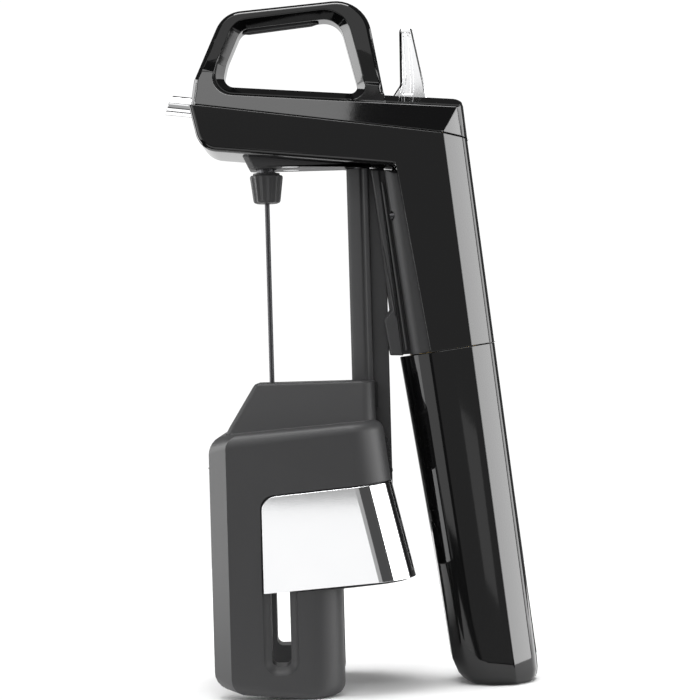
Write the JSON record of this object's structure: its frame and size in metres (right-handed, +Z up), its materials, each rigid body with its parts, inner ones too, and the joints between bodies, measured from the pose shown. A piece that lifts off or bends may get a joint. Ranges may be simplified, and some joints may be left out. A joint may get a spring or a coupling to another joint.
{
  "type": "wine opener",
  "caption": "Hand-held needle wine opener: a head with grip loop, spout, trigger and gas handle slides on a clamp that straddles the neck of the bottle.",
  "frame": {"origin": "on the surface it stands on, under the middle of the whole", "axes": "+Z up along the needle and the rail, -X towards the spout, +X towards the handle, +Y across the clamp"},
  "size_m": [0.1162, 0.057, 0.2204],
  "materials": {
    "gloss_black": "polished moulded plastic",
    "satin_grey": "fine satin moulded plastic",
    "chrome": "mirror plated",
    "steel": "turned and drawn steel",
    "brass": "turned brass",
    "aluminium": "machined, bead blasted",
    "rubber": "moulded, matt",
    "clear_tube": "milky flexible tube"
  },
  "bodies": {
    "clamp": {"clamp_housing": "satin_grey", "chrome_band": "chrome", "rear_badge": "satin_grey", "rear_grip_left": "rubber", "rear_grip_right": "rubber", "upper_bush": "rubber", "lower_bush": "rubber", "needle_guide": "satin_grey", "lip_pad": "rubber", "left_jaw_pin": "steel", "right_jaw_pin": "steel", "left_jaw_spring": "steel", "right_jaw_spring": "steel"},
    "left_jaw": {"left_jaw": "satin_grey", "left_jaw_pad": "rubber"},
    "right_jaw": {"right_jaw": "satin_grey", "right_jaw_pad": "rubber"},
    "head": {"main_shell": "gloss_black", "top_cover": "gloss_black", "loop_grip_pad": "rubber", "inner_frame": "satin_grey", "guide_rail": "satin_grey", "rail_stop_screw": "steel", "rail_screw": "steel", "nose_block": "satin_grey", "nose_screw_left": "steel", "nose_screw_right": "steel", "frame_screw_left": "steel", "frame_screw_right": "steel", "needle_nipple": "steel", "needle_block": "aluminium", "spout": "chrome", "wine_tube": "clear_tube", "trigger_pin": "steel", "trigger_spring": "steel", "trigger_bracket_left": "steel", "trigger_bracket_right": "steel", "valve_body": "brass", "valve_cap": "brass", "gas_tube": "steel", "gas_feed_tube": "steel", "regulator_body": "brass", "regulator_cap": "brass", "piercing_pin": "steel", "capsule_gasket": "rubber", "regulator_spring": "steel", "valve_spring": "steel"},
    "trigger": {"trigger": "chrome"},
    "valve_plunger": {"valve_plunger": "brass", "valve_seal": "rubber"},
    "regulator_piston": {"regulator_piston": "brass"},
    "capsule": {"capsule": "steel"},
    "cup": {"capsule_cup": "gloss_black", "cup_cushion": "rubber"},
    "needle": {"needle": "steel", "needle_oring": "rubber"},
    "needle_nut": {"needle_nut": "satin_grey"}
  },
  "joints": [
    {"name": "head_slide", "type": "slide", "parent": "clamp", "child": "head", "axis": [0, 0, -1], "range_m": [0, 0.05]},
    {"name": "left_jaw_pivot", "type": "hinge", "parent": "clamp", "child": "left_jaw", "pos_m": [-0.0256, -0.0188, 0.058], "axis": [-1, 0, 0], "range_deg": [0, 7], "stiffness_Nm_per_rad": 0.4, "springref_deg": -5.73},
    {"name": "right_jaw_pivot", "type": "hinge", "parent": "clamp", "child": "right_jaw", "pos_m": [-0.0256, 0.0188, 0.058], "axis": [1, 0, 0], "range_deg": [0, 7], "stiffness_Nm_per_rad": 0.4, "springref_deg": -5.73},
    {"name": "trigger_pivot", "type": "hinge", "parent": "head", "child": "trigger", "pos_m": [0.0219, 0, 0.1822], "axis": [0, 1, 0], "range_deg": [0, 14], "stiffness_Nm_per_rad": 0.3, "springref_deg": -5.73},
    {"name": "valve_slide", "type": "slide", "parent": "head", "child": "valve_plunger", "axis": [0, 0, -1], "range_m": [0, 0.0022], "deforming": ["valve_spring"]},
    {"name": "regulator_slide", "type": "slide", "parent": "head", "child": "regulator_piston", "axis": [-0.1262, 0, 0.992], "range_m": [0, 0.0012], "stiffness_N_per_m": 3000, "springref_m": -0.0005, "deforming": ["regulator_spring"]},
    {"name": "capsule_slide", "type": "slide", "parent": "head", "child": "capsule", "axis": [0.1262, 0, -0.992], "range_m": [0, 0.006]},
    {"name": "cup_turn", "type": "hinge", "parent": "capsule", "child": "cup", "pos_m": [0.0452, 0, 0], "axis": [0.1262, 0, -0.992], "range_deg": [0, 1080]},
    {"name": "needle_slide", "type": "slide", "parent": "head", "child": "needle", "axis": [0, 0, -1], "range_m": [0, 0.003]},
    {"name": "nut_turn", "type": "hinge", "parent": "needle", "child": "needle_nut", "pos_m": [-0.0256, 0, 0.16], "axis": [0, 0, -1], "range_deg": [0, 1080]}
  ],
  "couplings": [
    {"joint": "trigger_pivot", "follows": "valve_slide", "rad_per_m": 111},
    {"joint": "cup_turn", "follows": "capsule_slide", "rad_per_m": 3141.6},
    {"joint": "nut_turn", "follows": "needle_slide", "rad_per_m": 6283.2}
  ]
}
